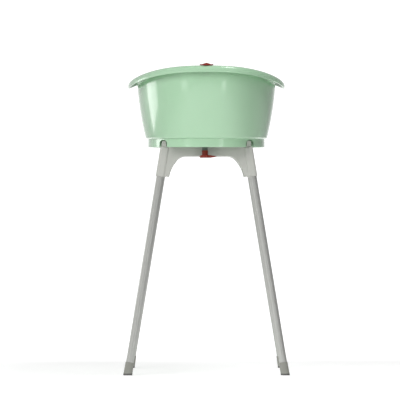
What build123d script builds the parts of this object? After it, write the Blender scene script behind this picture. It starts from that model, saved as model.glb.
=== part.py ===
"""Baby bath tub on a folding stand.

An oval tub with a rolled, wave-shaped rim sits on a low frame of two rails and two crossbars that is
hidden in its hollow plinth.  Each end of that frame carries a leg frame: a moulded arch bracket, two
aluminium tubes and two feet, hinged so that the legs fold up under the tub.  The tub has a drain with a
turning tap under its front end, and the drain's stopper is parked in a hole in the rim.

Frame: +Z up, Y along the tub, origin on the floor under the middle of the tub.  Lengths are in mm.
"""
from build123d import *
import math
import os

# ------------------------------------------------------------------ stand: overall
PIVOT_HEIGHT = 722.0          # leg hinge axis above the floor
LEG_TOP_X = 137.0             # leg axis from the middle plane, at the hinge axis' height
LEG_LEAN = 9.25               # sideways lean of each leg, degrees
LEG_SPLAY = 5.0               # lengthwise lean of each leg frame, degrees
PIVOT_SETBACK = 107.5         # hinge axis inside the plinth's end
RUNNING_GAP = 0.05            # radial clearance of a turning fit
BOLT_GAP = 0.1                # radial clearance of a bolt in its hole

# ------------------------------------------------------------------ tub
RIM_HALF_WIDTH = 258.0
RIM_HALF_LENGTH = 465.0
TUB_DEPTH = 189.0             # underside of the floor to the rim's top, at the middle of a long side
RIM_RISE = 48.5               # how much higher the rim is at the two ends
LIP_OVERHANG = 31.0
LIP_HEIGHT = 24.0
LIP_ROUND = 18.0
TUB_WALL = 3.0
PLAN_POWER = 2.5              # superellipse exponent of every outline seen from above
QUARTER_STEPS = 7             # spans of the spline that draws each quarter of an outline
SIDE_TAPER = 28.0             # wall's inward lean from rim to floor, along the sides
END_TAPER = 57.0              # and at the two ends
TAPER_POWER = 1.6             # the wall is steep at the rim and leans in towards the floor
FLOOR_ROUND = 24.0
HEEL_ROUND = 5.0
FLOOR_ABOVE_PIVOT = 44.0

SKIRT_STEP = 7.5              # plinth inside the foot of the wall
SKIRT_DROP = 28.0
NOTCH_HALF_WIDTH = 12.4
NOTCH_HEIGHT = 24.0
NOTCH_OFFSET = 3.0            # notch centre outside the leg axis
NOTCH_FLARE = 2.5
FLOOR_RIB_T = 2.5
FLOOR_RIB_DROP = 25.0
FLOOR_RIB_INSIDE_PIVOT = 17.0
FLOOR_RIB_GAP = 5.5           # to the rail beside it

# ------------------------------------------------------------------ leg frame
TUBE_D = 25.0
TUBE_WALL = 1.2
TUBE_GAP = 0.1                # radial clearance of a leg tube in its socket and foot
TUBE_TOP = -14.0              # top of the tube along the leg, from the hinge axis
LEG_PLANE_Y = -3.0            # leg axes in front of the hinge axis
SOCKET_SIDE = TUBE_D + 5.0
SOCKET_ROUND = 9.5
SOCKET_LENGTH = 81.0
SOCKET_TOP = 16.0
EAR_HEIGHT = 37.0
EAR_ROUND = 4.5
EAR_FRONT, EAR_BACK = -13.0, 6.0
WEB_FRONT, WEB_BACK = -13.0, -9.5
FLANGE_BACK = 10.0
FLANGE_WALL = 3.5
WEB_TOP = 17.0
ARCH_UNDERSIDE = -14.0
ARCH_TOP_X = 88.0             # the arch's corners, before their rounds
ARCH_HIP_X, ARCH_HIP = 117.5, -54.0
ARCH_FOOT_X = 124.0           # at the sockets' ends
ARCH_TOP_ROUND, ARCH_HIP_ROUND = 39.0, 100.0
RIB_WALL = 2.4
RIB_SPACING = 30.0
FOOT_HEIGHT = 42.0
FOOT_BOTTOM_R = TUBE_D / 2 + 2.3
FOOT_TOP_R = TUBE_D / 2 + 1.3
FOOT_WEB = 4.0                # solid plastic under the tube's end
SOLE_HEIGHT = 6.0
SCREW_DOWN = 46.0             # socket screw below the hinge axis, along the leg
SCREW_D = 5.0
SCREW_HEAD_D = 9.0
SCREW_HEAD_HEIGHT = 2.8
SCREW_CROSS, SCREW_SLOT = 5.0, 1.1   # cross recess: width over all and slot width

# ------------------------------------------------------------------ hinge
SHAFT_D = 8.0
BUSH_WALL = 2.0
BOSS_D = SHAFT_D + 12.0
BOSS_INNER_X = 78.0
PLATE_GAP = 1.5               # hinge plate to the boss on each side of it
PLATE_T = 4.0
PLATE_END_R = 7.5
PLATE_TOP_BACK, PLATE_TOP_FRONT = 10.0, -12.0
SHAFT_PAST_LEG = 4.0
CAP_D = SHAFT_D + 5.0
CAP_GAP = 0.5

# ------------------------------------------------------------------ carrier frame
RAIL_INSIDE_LEG = 34.0        # rail's middle plane inside the leg axis at the hinge
RAIL_WIDTH, RAIL_HEIGHT, RAIL_WALL = 15.0, 18.0, 1.5
PAD_T = 3.0
RAIL_PAST_PIVOT = 23.0
CROSSBAR_WIDTH, CROSSBAR_HEIGHT = 15.0, 20.0
CROSSBAR_BEHIND_PIVOT = 12.0
CROSSBAR_ABOVE_PIVOT = 13.5
BOLT_D = 5.0
BOLT_HEAD_D, BOLT_HEAD_T = 8.5, 3.2
NUT_T = 4.0
BOLT_OFFSETS = (-6.5, 4.5)    # along Y from the hinge axis
BOLT_ABOVE_PIVOT = 33.0
PLUG_LENGTH = 8.0
PLUG_FLANGE = 2.0
PAD_LENGTH, PAD_WIDTH = 70.0, 12.0
PAD_Y = 165.0

# ------------------------------------------------------------------ drain and stopper
DRAIN_X = -4.9
DRAIN_INSIDE_PLINTH = 59.5    # drain's axis from the plinth's end
DRAIN_FLANGE_R, DRAIN_FLANGE_T = 26.0, 2.5
DRAIN_BODY_R = 19.0
DRAIN_BODY_DROP = 20.0
DRAIN_BORE_R = 6.0
DRAIN_MOUTH_R = 15.0
STEM_R, STEM_END_R = 9.0, 7.0
TAP_DROP = 38.5               # top of the tap below the tub's floor
TAP_SLEEVE_R, TAP_SLEEVE_HEIGHT = 10.2, 15.0
TAP_DISC_R, TAP_DISC_T = 17.5, 9.0
TAP_LEVER_REACH = 38.0
SEAL_R = 0.9
GASKET_T = 3.0
NUT_ACROSS, DRAIN_NUT_T = 50.0, 6.0
STRAINER_T = 1.5
STRAINER_HOLES = 8
STRAINER_RING_R, STRAINER_HOLE_R = 9.5, 2.4
STOPPER_HALF_LENGTH = 22.0
STOPPER_HALF_WIDTH = 12.5
STOPPER_FROM_END = 17.5       # stopper's middle from the rim's end
STOPPER_HEIGHT = 8.4
STOPPER_STEM_R = 5.6
STOPPER_STEM_LENGTH = 16.0
GROMMET_WALL = 1.6
GROMMET_LIP = 0.6

# ------------------------------------------------------------------ derived places
FLOOR_Z = PIVOT_HEIGHT + FLOOR_ABOVE_PIVOT
RIM_SIDE_Z = FLOOR_Z + TUB_DEPTH
WALL_HALF_WIDTH = RIM_HALF_WIDTH - LIP_OVERHANG
WALL_HALF_LENGTH = RIM_HALF_LENGTH - LIP_OVERHANG
BASE_HALF_WIDTH = WALL_HALF_WIDTH - SIDE_TAPER
BASE_HALF_LENGTH = WALL_HALF_LENGTH - END_TAPER
SKIRT_HALF_WIDTH = BASE_HALF_WIDTH - SKIRT_STEP
SKIRT_HALF_LENGTH = BASE_HALF_LENGTH - SKIRT_STEP
SKIRT_BOTTOM_Z = FLOOR_Z - SKIRT_DROP
PIVOT_Y = SKIRT_HALF_LENGTH - PIVOT_SETBACK
RAIL_X = LEG_TOP_X - RAIL_INSIDE_LEG
RAIL_TOP_Z = FLOOR_Z - PAD_T
RAIL_HALF_LENGTH = PIVOT_Y + RAIL_PAST_PIVOT
PLATE_OUTER_X = RAIL_X - RAIL_WIDTH / 2
PLATE_INNER_X = PLATE_OUTER_X - PLATE_T
SHAFT_HALF_LENGTH = LEG_TOP_X + SHAFT_PAST_LEG
DRAIN_Y = -(SKIRT_HALF_LENGTH - DRAIN_INSIDE_PLINTH)
STOPPER_Y = -(RIM_HALF_LENGTH - STOPPER_FROM_END)


# ------------------------------------------------------------------ helpers
def slab(face, y_low, y_high):
    """A drawing in the X-Z plane made solid from y_low to y_high."""
    return Pos(0, y_high, 0) * extrude(Plane.XZ * face, amount=y_high - y_low)


def rod_x(radius, x_low, x_high, y=0.0, z=0.0):
    """A round bar along X."""
    middle = (x_low + x_high) / 2
    return Pos(middle, y, z) * Rot(Y=90) * Cylinder(radius, x_high - x_low)


def rod_z(radius, z_low, z_high, x=0.0, y=0.0):
    """A round bar along Z."""
    return Pos(x, y, z_low) * Cylinder(radius, z_high - z_low, align=(Align.CENTER, Align.CENTER, Align.MIN))


def block(x_low, x_high, y_low, y_high, z_low, z_high):
    """A box given by its limits."""
    size = (x_high - x_low, y_high - y_low, z_high - z_low)
    return Pos(x_low, y_low, z_low) * Box(*size, align=(Align.MIN, Align.MIN, Align.MIN))


def both_sides(solid):
    """A solid and its mirror image across the middle plane x = 0."""
    return [solid, mirror(solid, about=Plane.YZ)]


def along_leg(solid, side):
    """Place a solid whose own Z runs along the leg; side is -1 on the left and 1 on the right."""
    return Pos(side * LEG_TOP_X, LEG_PLANE_Y, 0) * Rot(Y=-side * LEG_LEAN) * solid


def front_frame(solid):
    """Take a solid from the leg frame's own plane to its place at the front of the stand."""
    return Pos(0, -PIVOT_Y, PIVOT_HEIGHT) * Rot(X=-LEG_SPLAY) * solid


def rear_frame(solid):
    """The same place at the rear of the stand."""
    return mirror(front_frame(solid), about=Plane.XZ)


# ------------------------------------------------------------------ tub
def plan_face(half_x, half_y, z):
    """Superellipse outline at a height, in four quarters."""
    quarters = []
    for quarter in range(4):
        points = []
        for step in range(QUARTER_STEPS + 1):
            angle = math.pi / 2 * (quarter + step / QUARTER_STEPS)
            c, s = math.cos(angle), math.sin(angle)
            x = math.copysign(abs(c) ** (2 / PLAN_POWER), c)
            y = math.copysign(abs(s) ** (2 / PLAN_POWER), s)
            points.append((half_x * round(x, 9), half_y * round(y, 9)))
        turn = math.pi / 2 * quarter
        tangents = [(-math.sin(turn), math.cos(turn)), (-math.cos(turn), -math.sin(turn))]
        quarters.append(Spline(*points, tangents=tangents))
    return Pos(0, 0, z) * make_face(quarters)


def wall_loft(inset, z_low):
    """Solid inside the tub's wall, inset from its outer face, from z_low to above the rim."""
    top = RIM_SIDE_Z + RIM_RISE + 2 * LIP_HEIGHT
    sections = []
    for share in (0.0, 0.2, 0.45, 0.75, 1.0):
        z = z_low + share * (RIM_SIDE_Z - z_low)
        height = max(0.0, (z - FLOOR_Z) / TUB_DEPTH)
        lean = 1 - (1 - height) ** TAPER_POWER
        half_x = BASE_HALF_WIDTH + SIDE_TAPER * lean - inset
        half_y = BASE_HALF_LENGTH + END_TAPER * lean - inset
        sections.append(plan_face(half_x, half_y, z))
    sections.append(plan_face(WALL_HALF_WIDTH - inset, WALL_HALF_LENGTH - inset, top))
    return loft(sections)


def wave_slab(top_drop, thickness):
    """Everything between the rim's wave, lowered by top_drop, and the same wave a thickness lower."""
    reach = RIM_HALF_LENGTH + 2 * LIP_OVERHANG
    curve = RIM_RISE / RIM_HALF_LENGTH ** 2

    def wave(drop):
        end = RIM_SIDE_Z - drop + curve * reach ** 2
        return (-reach, end), (0, RIM_SIDE_Z - drop), (reach, end)

    top, bottom = wave(top_drop), wave(top_drop + thickness)
    outline = ThreePointArc(*top) + Line(top[2], bottom[2]) + ThreePointArc(*bottom) + Line(bottom[0], top[0])
    width = 2 * (RIM_HALF_WIDTH + LIP_OVERHANG)
    return Pos(-width / 2, 0, 0) * extrude(Plane.YZ * make_face(outline), amount=width)


def lip_block(inset, thickness):
    """The rolled rim as if it were solid, inset all over from its outer face."""
    low = RIM_SIDE_Z - 3 * LIP_HEIGHT
    height = RIM_RISE + 5 * LIP_HEIGHT
    column = extrude(plan_face(RIM_HALF_WIDTH - inset, RIM_HALF_LENGTH - inset, low), amount=height)
    cut = column & wave_slab(inset, thickness)
    crown = max(cut.faces(), key=lambda face: face.normal_at().Z * face.area)
    return fillet(crown.edges(), LIP_ROUND - inset)


def notch_cut():
    """Arched notches in the plinth for the brackets' ears, open at its lower edge."""
    x = LEG_TOP_X + NOTCH_OFFSET
    top = SKIRT_BOTTOM_Z + NOTCH_HEIGHT
    low = SKIRT_BOTTOM_Z - NOTCH_FLARE
    half, flare = NOTCH_HALF_WIDTH, NOTCH_HALF_WIDTH + NOTCH_FLARE
    arch = Pos(x, top - half) * Circle(half)
    stem = Pos(x, (low + top - half) / 2) * Rectangle(2 * half, top - half - low)
    mouth = Pos(x, SKIRT_BOTTOM_Z) * Rectangle(2 * flare, 2 * NOTCH_FLARE)
    for side in (-1, 1):
        mouth -= Pos(x + side * flare, SKIRT_BOTTOM_Z + NOTCH_FLARE) * Circle(NOTCH_FLARE)
    drawing = arch + stem + mouth
    reach = SKIRT_HALF_LENGTH
    right = slab(drawing, -reach, reach)
    return right + mirror(right, about=Plane.YZ)


def floor_ribs():
    """Short cross ribs under the floor, beside the rails and just behind the notches."""
    low = FLOOR_Z - FLOOR_RIB_DROP
    inside = extrude(plan_face(SKIRT_HALF_WIDTH - 1, SKIRT_HALF_LENGTH - 1, low), amount=FLOOR_RIB_DROP + 1)
    y_front = FLOOR_RIB_INSIDE_PIVOT - PIVOT_Y
    rib = block(RAIL_X + RAIL_WIDTH / 2 + FLOOR_RIB_GAP, SKIRT_HALF_WIDTH, y_front, y_front + FLOOR_RIB_T,
                low, FLOOR_Z + 1) & inside
    return both_sides(rib) + both_sides(mirror(rib, about=Plane.XZ))


def tub_shell():
    """Basin, rolled rim and hollow plinth in one moulding."""
    body = wall_loft(0.0, FLOOR_Z)
    body = fillet(body.faces().sort_by(Axis.Z)[0].edges(), HEEL_ROUND)
    under_wave = wave_slab(0.0, RIM_RISE + TUB_DEPTH * 2)
    hollow_lip = lip_block(TUB_WALL, 2 * LIP_HEIGHT) - body
    basin = wall_loft(TUB_WALL, FLOOR_Z + TUB_WALL)
    basin = fillet(basin.faces().sort_by(Axis.Z)[0].edges(), FLOOR_ROUND)
    shell = (body & under_wave) + lip_block(0.0, LIP_HEIGHT) - hollow_lip - basin
    skirt = extrude(plan_face(SKIRT_HALF_WIDTH, SKIRT_HALF_LENGTH, SKIRT_BOTTOM_Z), amount=SKIRT_DROP + 1)
    skirt -= extrude(plan_face(SKIRT_HALF_WIDTH - TUB_WALL, SKIRT_HALF_LENGTH - TUB_WALL, SKIRT_BOTTOM_Z),
                     amount=SKIRT_DROP)
    shell = shell + (skirt - notch_cut()) + floor_ribs()
    shell -= rod_z(DRAIN_BODY_R, FLOOR_Z - 1, FLOOR_Z + 2 * TUB_WALL, DRAIN_X, DRAIN_Y)
    rim_top = rim_height(STOPPER_Y)
    shell -= rod_z(STOPPER_STEM_R + GROMMET_WALL, rim_top - LIP_ROUND, rim_top + LIP_ROUND, 0, STOPPER_Y)
    shell -= rod_z(STOPPER_STEM_R + 2 * GROMMET_WALL, rim_top - GROMMET_LIP, rim_top + LIP_ROUND, 0, STOPPER_Y)
    return shell


# ------------------------------------------------------------------ leg frame, in its own plane
def arch_face():
    """The opening under the bracket, between the two sockets."""
    slope = (ARCH_FOOT_X - ARCH_HIP_X) / (SOCKET_LENGTH + ARCH_HIP)
    low = -SOCKET_LENGTH - SOCKET_SIDE
    half = ((ARCH_FOOT_X + slope * SOCKET_SIDE, low), (ARCH_HIP_X, ARCH_HIP), (ARCH_TOP_X, ARCH_UNDERSIDE))
    face = make_face(Polyline(*half, *[(-x, z) for x, z in reversed(half)], close=True))
    face = fillet(face.vertices().sort_by(Axis.Y)[-4:-2], ARCH_HIP_ROUND)
    return fillet(face.vertices().sort_by(Axis.Y)[-2:], ARCH_TOP_ROUND)


def web_face():
    """Outline of the bracket's plate, out to the leg axes and down to the sockets' ends."""
    lean = math.tan(math.radians(LEG_LEAN))
    top_x = LEG_TOP_X - WEB_TOP * lean
    low_x = LEG_TOP_X + SOCKET_LENGTH * lean
    outline = Polyline((-top_x, WEB_TOP), (top_x, WEB_TOP), (low_x, -SOCKET_LENGTH), (-low_x, -SOCKET_LENGTH),
                       close=True)
    return make_face(outline) - arch_face()


def ear_face():
    """The rounded ear that stands up into a notch of the plinth, on the right side."""
    outline = Polyline((LEG_TOP_X - 8.4, SOCKET_TOP - 6), (LEG_TOP_X - 5.5, EAR_HEIGHT),
                       (LEG_TOP_X + 6.5, EAR_HEIGHT), (LEG_TOP_X + 10.4, SOCKET_TOP - 6), close=True)
    face = make_face(outline)
    return fillet(face.vertices().sort_by(Axis.Y)[-2:], EAR_ROUND)


def socket_column(side):
    """Rounded square column around the leg tube, open at its lower end."""
    height = SOCKET_LENGTH + SOCKET_TOP
    drawing = RectangleRounded(SOCKET_SIDE, SOCKET_SIDE, SOCKET_ROUND)
    column = Pos(0, 0, -SOCKET_LENGTH) * extrude(drawing, amount=height)
    column = fillet(column.edges().group_by(Axis.Z)[-1], 4.0)
    return along_leg(column, side)


def socket_bores():
    """What is cut from the bracket for the tubes and their screws."""
    radius = TUBE_D / 2 + TUBE_GAP
    bore = rod_z(radius, -SOCKET_LENGTH - SOCKET_SIDE, TUBE_TOP + TUBE_GAP)
    hole = Pos(0, SOCKET_SIDE / 2, -SCREW_DOWN) * Rot(X=90) * Cylinder(SCREW_D / 2 + BOLT_GAP, SOCKET_SIDE)
    return [along_leg(bore + hole, side) for side in (-1, 1)]


def boss_spans():
    """X spans of the hinge bosses on the right: inside and outside the hinge plate."""
    return (BOSS_INNER_X, PLATE_INNER_X - PLATE_GAP), (PLATE_OUTER_X + PLATE_GAP, SHAFT_HALF_LENGTH)


def bracket():
    """Moulded arch bracket: web, flanges, ribs, two sockets with ears, and the hinge bosses."""
    web = web_face()
    arch = arch_face()
    body = slab(web, WEB_FRONT, WEB_BACK)
    body += slab((offset(arch, amount=FLANGE_WALL) - arch) & web, WEB_FRONT, FLANGE_BACK)
    body += block(-LEG_TOP_X, LEG_TOP_X, WEB_FRONT, FLANGE_BACK, WEB_TOP - FLANGE_WALL, WEB_TOP)
    ribs = round(BOSS_INNER_X / RIB_SPACING) - 1
    for number in range(-ribs, ribs + 1):
        x = number * RIB_SPACING
        body += block(x - RIB_WALL / 2, x + RIB_WALL / 2, WEB_BACK, FLANGE_BACK, ARCH_UNDERSIDE + 1, WEB_TOP - 1)
    (inner_low, inner_high), (outer_low, outer_high) = boss_spans()
    for low, high in ((inner_low, inner_high), (outer_low, LEG_TOP_X)):
        body += both_sides(rod_x(BOSS_D / 2, low, high) +
                           block(low, high, WEB_BACK - 1, 0, -BOSS_D / 4, BOSS_D / 4))
    ear = slab(ear_face(), EAR_FRONT, EAR_BACK)
    body += both_sides(fillet(ear.edges().filter_by(Axis.Y, reverse=True), 1.5))
    body += [socket_column(-1), socket_column(1)]
    gap_low, gap_high = inner_high, outer_low
    body -= both_sides(block(gap_low, gap_high, WEB_BACK, 2 * FLANGE_BACK, -PLATE_END_R - 1, 2 * WEB_TOP))
    body -= socket_bores()
    bush_r = SHAFT_D / 2 + BUSH_WALL
    for low, high in boss_spans():
        body -= both_sides(rod_x(bush_r, low - 1 if low == inner_low else low, high))
    body -= rod_x(SHAFT_D / 2 + BUSH_WALL / 2, -inner_low, inner_low)
    body -= both_sides(rod_x(CAP_D / 2, SHAFT_HALF_LENGTH + CAP_GAP, SHAFT_HALF_LENGTH + SOCKET_SIDE))
    return body


def hinge_bushes():
    """Nylon bushes in the bracket's bosses."""
    bushes = []
    bush_r, hole_r = SHAFT_D / 2 + BUSH_WALL, SHAFT_D / 2 + RUNNING_GAP
    for low, high in boss_spans():
        bushes += both_sides(rod_x(bush_r, low, high) - rod_x(hole_r, low - 1, high + 1))
    return bushes


def hinge_caps():
    """Plugs that close the bracket's shaft holes, flush with the columns."""
    caps = []
    for side in (-1, 1):
        low, high = SHAFT_HALF_LENGTH + CAP_GAP, SHAFT_HALF_LENGTH + SOCKET_SIDE
        plug = rod_x(CAP_D / 2, low, high) if side > 0 else rod_x(CAP_D / 2, -high, -low)
        caps.append(plug & socket_column(side))
    return caps


def leg_reach():
    """Distance along the leg from the hinge axis' height down to the floor."""
    return PIVOT_HEIGHT / math.cos(math.radians(LEG_SPLAY)) / math.cos(math.radians(LEG_LEAN))


def tube_foot_gap():
    """Distance along the leg from the floor up to the tube's lower end."""
    return SOLE_HEIGHT + FOOT_WEB + FOOT_BOTTOM_R * math.tan(math.radians(LEG_LEAN + LEG_SPLAY))


def leg_tube(side):
    """Aluminium leg tube with the hole for its socket screw."""
    low = -leg_reach() + tube_foot_gap()
    tube = rod_z(TUBE_D / 2, low, TUBE_TOP) - rod_z(TUBE_D / 2 - TUBE_WALL, low - 1, TUBE_TOP + 1)
    tube -= Pos(0, TUBE_D / 2, -SCREW_DOWN) * Rot(X=90) * Cylinder(SCREW_D / 2 + BOLT_GAP, TUBE_D)
    return along_leg(tube, side)


def socket_screws():
    """Pan-head screws that hold the tubes in their sockets, from behind."""
    screws = []
    back = SOCKET_SIDE / 2
    for side in (-1, 1):
        shank_length = SOCKET_SIDE / 2 - TUBE_D / 2 + 2 * TUBE_WALL
        shank = Pos(0, back - shank_length / 2, -SCREW_DOWN) * Rot(X=90) * Cylinder(SCREW_D / 2, shank_length)
        head = Pos(0, back + SCREW_HEAD_HEIGHT / 2, -SCREW_DOWN) * Rot(X=90) * Cylinder(
            SCREW_HEAD_D / 2, SCREW_HEAD_HEIGHT)
        head = fillet(head.edges().sort_by(Axis.Y)[-1], 1.2)
        recess = Pos(0, back + SCREW_HEAD_HEIGHT, -SCREW_DOWN) * (
            Box(SCREW_CROSS, 3, SCREW_SLOT) + Box(SCREW_SLOT, 3, SCREW_CROSS))
        screws.append(along_leg(shank + head - recess, side))
    return screws


def foot_cone(side):
    """The foot's outer shape with its sole, before the floor cuts it level."""
    low = -leg_reach() - FOOT_BOTTOM_R
    height = FOOT_HEIGHT + FOOT_BOTTOM_R
    growth = (FOOT_BOTTOM_R - FOOT_TOP_R) / FOOT_HEIGHT
    low_r = FOOT_TOP_R + growth * height
    cone = Pos(0, 0, low) * Cone(low_r, FOOT_TOP_R, height, align=(Align.CENTER, Align.CENTER, Align.MIN))
    return along_leg(cone, side)


def above(z):
    """Everything above a level, wide enough for the whole stand."""
    wide = 2 * PIVOT_HEIGHT
    return block(-wide, wide, -wide, wide, z, z + PIVOT_HEIGHT)


def foot(side):
    """Plastic foot over the tube's end, placed at the front of the stand."""
    cone = foot_cone(side)
    cone = fillet(cone.edges().sort_by(Axis.Z)[-1], 1.0)
    low = -leg_reach() + tube_foot_gap()
    bore = along_leg(rod_z(TUBE_D / 2 + TUBE_GAP, low, 0), side)
    return front_frame(cone - bore) & above(SOLE_HEIGHT)


def soles():
    """Rubber soles, level with the floor, at the front of the stand."""
    return [front_frame(foot_cone(side)) & (above(0) - above(SOLE_HEIGHT)) for side in (-1, 1)]


# ------------------------------------------------------------------ carrier frame
def rail(side):
    """Rectangular steel tube under one side of the tub's floor."""
    x = side * RAIL_X
    half, bottom = RAIL_WIDTH / 2, RAIL_TOP_Z - RAIL_HEIGHT
    tube = block(x - half, x + half, -RAIL_HALF_LENGTH, RAIL_HALF_LENGTH, bottom, RAIL_TOP_Z)
    tube = fillet(tube.edges().filter_by(Axis.Y), 2.0)
    inner = half - RAIL_WALL
    tube -= block(x - inner, x + inner, -RAIL_HALF_LENGTH - 1, RAIL_HALF_LENGTH + 1,
                  bottom + RAIL_WALL, RAIL_TOP_Z - RAIL_WALL)
    return tube - bolt_rods(BOLT_D / 2 + BOLT_GAP)


def bolt_rods(radius):
    """Round bars along X where the hinge bolts pass, through rails and hinge plates."""
    bars = []
    for end in (-1, 1):
        for along in BOLT_OFFSETS:
            y = end * (PIVOT_Y - along)
            bars += both_sides(rod_x(radius, PLATE_INNER_X - NUT_T - 1, RAIL_X + RAIL_WIDTH / 2,
                                     y, PIVOT_HEIGHT + BOLT_ABOVE_PIVOT))
    return bars


def crossbar(end):
    """Steel channel between the rails; its outer face is the leg frame's stop."""
    y_stop = PIVOT_Y - CROSSBAR_BEHIND_PIVOT
    bottom = PIVOT_HEIGHT + CROSSBAR_ABOVE_PIVOT
    half = PLATE_OUTER_X
    bar = block(-half, half, y_stop - CROSSBAR_WIDTH, y_stop, bottom, bottom + CROSSBAR_HEIGHT)
    bar = fillet(bar.edges().filter_by(Axis.X), 1.5)
    bar -= block(-half - 1, half + 1, y_stop - CROSSBAR_WIDTH - 1, y_stop - RAIL_WALL,
                 bottom + RAIL_WALL, bottom + CROSSBAR_HEIGHT - RAIL_WALL)
    return bar if end > 0 else mirror(bar, about=Plane.XZ)


def hinge_plates(end):
    """Two steel plates bolted inside the rails, which hold the hinge shaft."""
    top = RAIL_TOP_Z - 2
    drawing = make_face(Polyline((-PLATE_END_R, PIVOT_HEIGHT), (PLATE_END_R, PIVOT_HEIGHT),
                                 (PLATE_END_R, RAIL_TOP_Z - RAIL_HEIGHT), (PLATE_TOP_BACK, top),
                                 (PLATE_TOP_FRONT, top), (-PLATE_END_R, RAIL_TOP_Z - RAIL_HEIGHT), close=True))
    drawing += Pos(0, PIVOT_HEIGHT) * Circle(PLATE_END_R)
    drawing -= Pos(0, PIVOT_HEIGHT) * Circle(SHAFT_D / 2)
    plate = Pos(PLATE_INNER_X, -PIVOT_Y, 0) * extrude(Plane.YZ * drawing, amount=PLATE_T)
    plates = both_sides(plate)
    if end > 0:
        plates = [mirror(one, about=Plane.XZ) for one in plates]
    return [one - bolt_rods(BOLT_D / 2 + BOLT_GAP) for one in plates]


def hinge_shaft(end):
    """Steel shaft that a leg frame turns on."""
    shaft = rod_x(SHAFT_D / 2, -SHAFT_HALF_LENGTH, SHAFT_HALF_LENGTH, end * PIVOT_Y, PIVOT_HEIGHT)
    return chamfer(shaft.edges().filter_by(GeomType.CIRCLE), 0.6)


def hinge_bolts():
    """Round-headed bolts through rails and hinge plates."""
    bolts = []
    z = PIVOT_HEIGHT + BOLT_ABOVE_PIVOT
    outer = RAIL_X + RAIL_WIDTH / 2
    for end in (-1, 1):
        for along in BOLT_OFFSETS:
            y = end * (PIVOT_Y - along)
            head = rod_x(BOLT_HEAD_D / 2, outer, outer + BOLT_HEAD_T, y, z)
            head = fillet(head.edges().sort_by(Axis.X)[-1], 1.3)
            bolts += both_sides(head + rod_x(BOLT_D / 2, PLATE_INNER_X - NUT_T - 1, outer, y, z))
    return bolts


def hinge_nuts():
    """Hexagon nuts on the hinge bolts."""
    nuts = []
    for end in (-1, 1):
        for along in BOLT_OFFSETS:
            y = end * (PIVOT_Y - along)
            drawing = RegularPolygon(BOLT_HEAD_D / 2, 6) - Circle(BOLT_D / 2)
            place = Pos(PLATE_INNER_X - NUT_T, y, PIVOT_HEIGHT + BOLT_ABOVE_PIVOT)
            nuts += both_sides(place * extrude(Plane.YZ * drawing, amount=NUT_T))
    return nuts


def rail_end_plugs():
    """Plastic plugs in the rails' open ends."""
    plugs = []
    half, bottom = RAIL_WIDTH / 2, RAIL_TOP_Z - RAIL_HEIGHT
    inner = half - RAIL_WALL
    for end in (-1, 1):
        spans = sorted((end * (RAIL_HALF_LENGTH - PLUG_LENGTH), end * RAIL_HALF_LENGTH))
        flange = sorted((end * RAIL_HALF_LENGTH, end * (RAIL_HALF_LENGTH + PLUG_FLANGE)))
        plug = block(RAIL_X - inner, RAIL_X + inner, *spans, bottom + RAIL_WALL, RAIL_TOP_Z - RAIL_WALL)
        lid = block(RAIL_X - half, RAIL_X + half, *flange, bottom, RAIL_TOP_Z)
        plugs += both_sides(plug + fillet(lid.edges().filter_by(Axis.Y), 2.0))
    return plugs


def tub_pads():
    """Rubber pads on the rails, which the tub's floor rests on."""
    pads = []
    for y in (-PAD_Y, PAD_Y):
        pad = block(RAIL_X - PAD_WIDTH / 2, RAIL_X + PAD_WIDTH / 2, y - PAD_LENGTH / 2, y + PAD_LENGTH / 2,
                    RAIL_TOP_Z, FLOOR_Z)
        pads += both_sides(fillet(pad.edges().filter_by(Axis.Z), PAD_WIDTH / 4))
    return pads


# ------------------------------------------------------------------ drain and stopper
def drain_levels():
    """Heights of the drain: under the gasket, under the nut, under the body, top of the tap."""
    gasket = FLOOR_Z - GASKET_T
    return gasket, gasket - DRAIN_NUT_T, FLOOR_Z - DRAIN_BODY_DROP, FLOOR_Z - TAP_DROP


def drain_body():
    """Flanged drain with its funnel and the stem that the tap turns on."""
    top = FLOOR_Z + TUB_WALL
    low, tap_top = drain_levels()[2:]
    stem_low = tap_top - TAP_SLEEVE_HEIGHT + 2
    body = rod_z(DRAIN_FLANGE_R, top, top + DRAIN_FLANGE_T, DRAIN_X, DRAIN_Y)
    body = chamfer(body.edges().sort_by(Axis.Z)[-1], 1.5)
    body += rod_z(DRAIN_BODY_R, low, top, DRAIN_X, DRAIN_Y)
    body += rod_z(STEM_R, tap_top + 0.3, low, DRAIN_X, DRAIN_Y)
    body += rod_z(STEM_END_R, stem_low, low, DRAIN_X, DRAIN_Y)
    body -= rod_z(DRAIN_BORE_R - 1, stem_low - 1, top, DRAIN_X, DRAIN_Y)
    body -= rod_z(DRAIN_MOUTH_R, low + 4, top + DRAIN_FLANGE_T + 1, DRAIN_X, DRAIN_Y)
    groove_z = (tap_top + stem_low) / 2
    groove = rod_z(STEM_END_R + 1, groove_z - SEAL_R, groove_z + SEAL_R, DRAIN_X, DRAIN_Y)
    groove -= rod_z(STEM_END_R - 2 * SEAL_R, groove_z - 5, groove_z + 5, DRAIN_X, DRAIN_Y)
    return body - groove


def tap_seal():
    """O-ring in the stem's groove, inside the tap."""
    tap_top = drain_levels()[3]
    z = (tap_top + tap_top - TAP_SLEEVE_HEIGHT + 2) / 2
    return Pos(DRAIN_X, DRAIN_Y, z) * Torus(STEM_END_R - SEAL_R, SEAL_R)


def drain_gasket():
    """Rubber washer under the tub's floor."""
    z = drain_levels()[0]
    return (rod_z(DRAIN_FLANGE_R - 1, z, FLOOR_Z, DRAIN_X, DRAIN_Y)
            - rod_z(DRAIN_BODY_R, z - 1, FLOOR_Z + 1, DRAIN_X, DRAIN_Y))


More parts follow.
